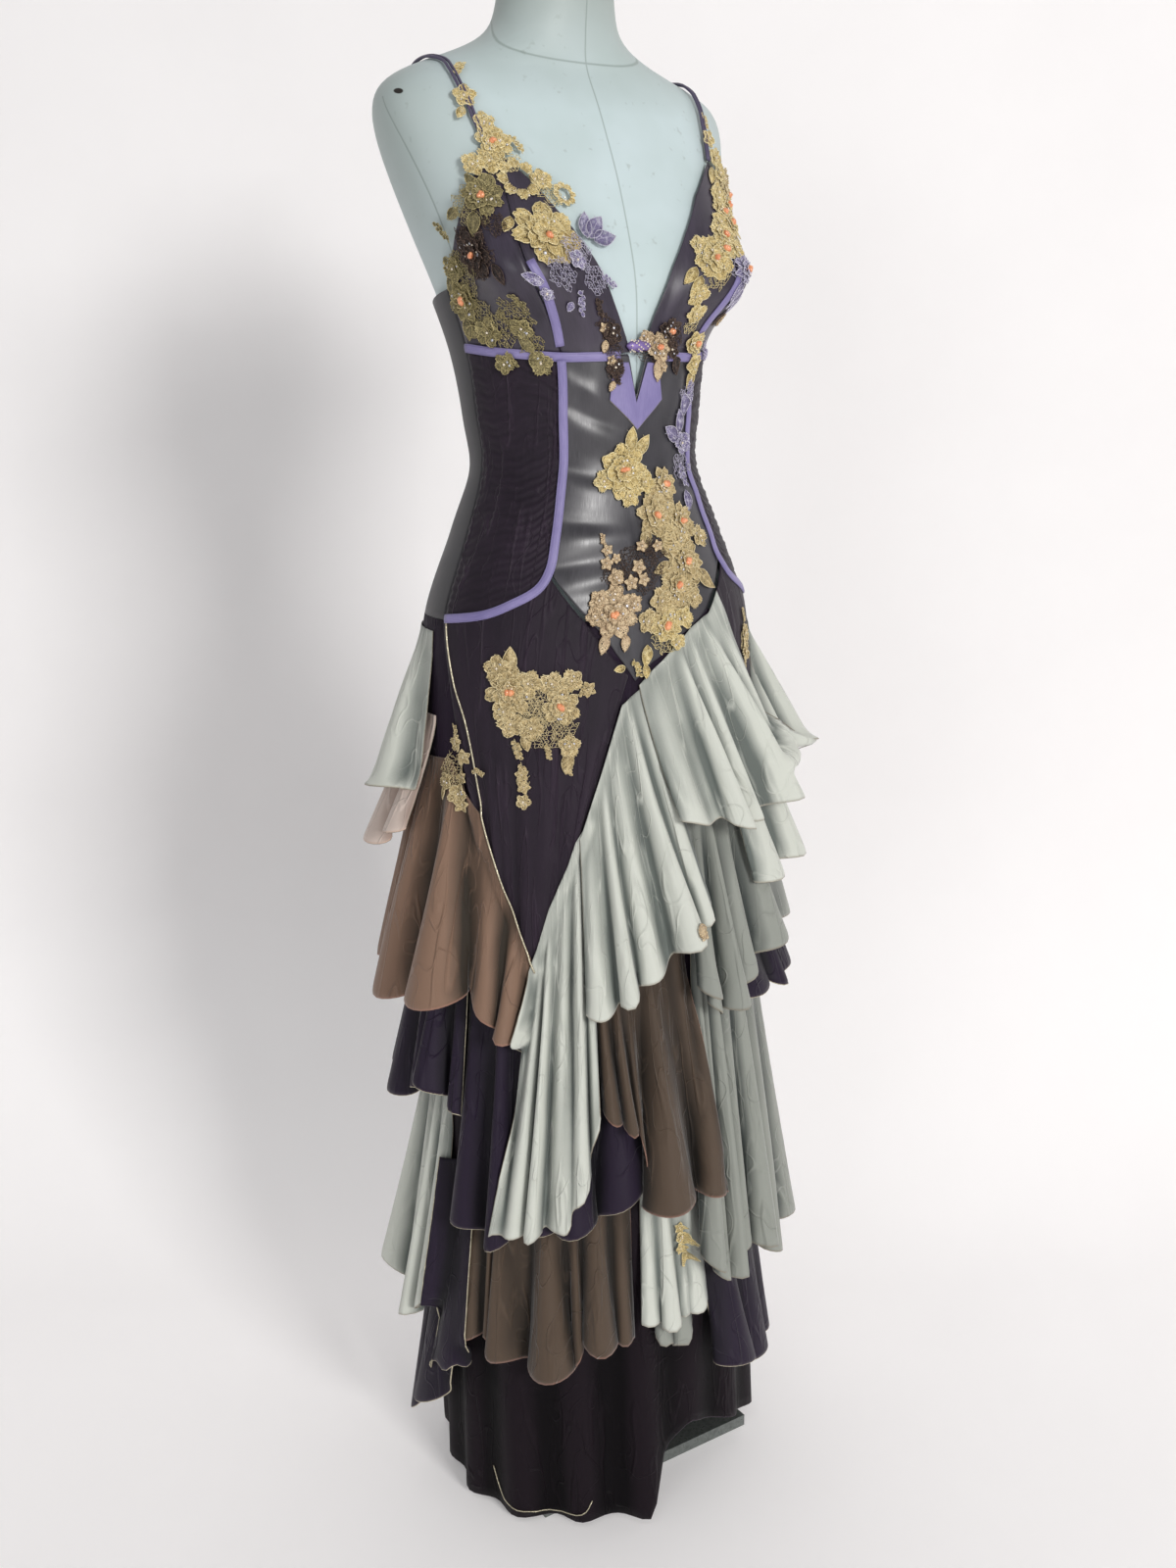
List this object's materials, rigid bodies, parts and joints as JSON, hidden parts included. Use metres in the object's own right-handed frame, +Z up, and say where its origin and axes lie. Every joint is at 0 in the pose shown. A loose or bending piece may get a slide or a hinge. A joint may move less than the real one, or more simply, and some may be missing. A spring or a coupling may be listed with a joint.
{
  "type": "layered gown on dress form",
  "caption": "Floor-length strapped gown with a corset-seamed satin bodice, lace motifs and tiered chiffon flounces, on a limbless dress form.",
  "frame": {"origin": "centre of the foot plate's underside, on the floor under the form's pole", "axes": "+Z up, front faces -Y, the wearer's left is +X"},
  "size_m": [0.474, 0.4083, 1.556],
  "materials": {
    "form_shell": "smooth pale green-grey painted shell",
    "stand_metal": "dark grey satin paint",
    "satin_grey": "charcoal grey duchess satin with a soft sheen",
    "satin_lilac": "lilac satin piping",
    "chiffon_plum": "dark aubergine silk chiffon over its own lining",
    "chiffon_sage": "sage grey crinkled silk chiffon",
    "chiffon_brown": "bronze brown silk chiffon",
    "lace_gold": "corded metallic gold lace",
    "lace_lilac": "lilac corded lace",
    "lace_dark": "brown-black corded lace"
  },
  "bodies": {
    "root": {"back_left": "satin_grey", "back_right": "satin_grey", "brown_back": "chiffon_brown", "brown_low": "chiffon_brown", "brown_middle": "chiffon_brown", "brown_right": "chiffon_brown", "centre_front": "satin_grey", "cup_inner_left": "satin_grey", "cup_inner_right": "satin_grey", "cup_knot": "satin_lilac", "cup_outer_left": "satin_grey", "cup_outer_right": "satin_grey", "form_foot_plate": "stand_metal", "form_pole": "stand_metal", "form_torso": "form_shell", "hip_panel_left": "chiffon_plum", "hip_panel_right": "chiffon_plum", "keyhole_tab": "satin_lilac", "lace_centre": "lace_gold", "lace_centre_side": "lace_gold", "lace_cup_lilac_right": "lace_lilac", "lace_cup_right": "lace_gold", "lace_dark_left": "lace_dark", "lace_dark_right": "lace_dark", "lace_hip_left": "lace_gold", "lace_hip_right": "lace_gold", "lace_hip_side": "lace_gold", "lace_strap_left": "lace_gold", "lace_strap_right": "lace_gold", "piping_cup_left": "satin_lilac", "piping_cup_right": "satin_lilac", "piping_side_left": "satin_lilac", "piping_side_right": "satin_lilac", "piping_underbust_left": "satin_lilac", "piping_underbust_right": "satin_lilac", "plum_back": "chiffon_plum", "plum_corner": "chiffon_plum", "plum_handkerchief": "chiffon_plum", "plum_left": "chiffon_plum", "plum_low_left": "chiffon_plum", "plum_middle": "chiffon_plum", "plum_right": "chiffon_plum", "sage_back": "chiffon_sage", "sage_back_right": "chiffon_sage", "sage_cascade_low": "chiffon_sage", "sage_cascade_middle": "chiffon_sage", "sage_cascade_top": "chiffon_sage", "sage_hip_left": "chiffon_sage", "sage_hip_under_left": "chiffon_sage", "sage_long_left": "chiffon_sage", "sage_low_back": "chiffon_sage", "sage_low_centre": "chiffon_sage", "sage_low_right": "chiffon_sage", "sage_low_under": "chiffon_sage", "sage_middle_left": "chiffon_sage", "side_ruched_left": "chiffon_plum", "side_ruched_right": "chiffon_plum", "strap_left": "satin_lilac", "strap_right": "satin_lilac", "underskirt": "chiffon_plum"}
  },
  "joints": []
}
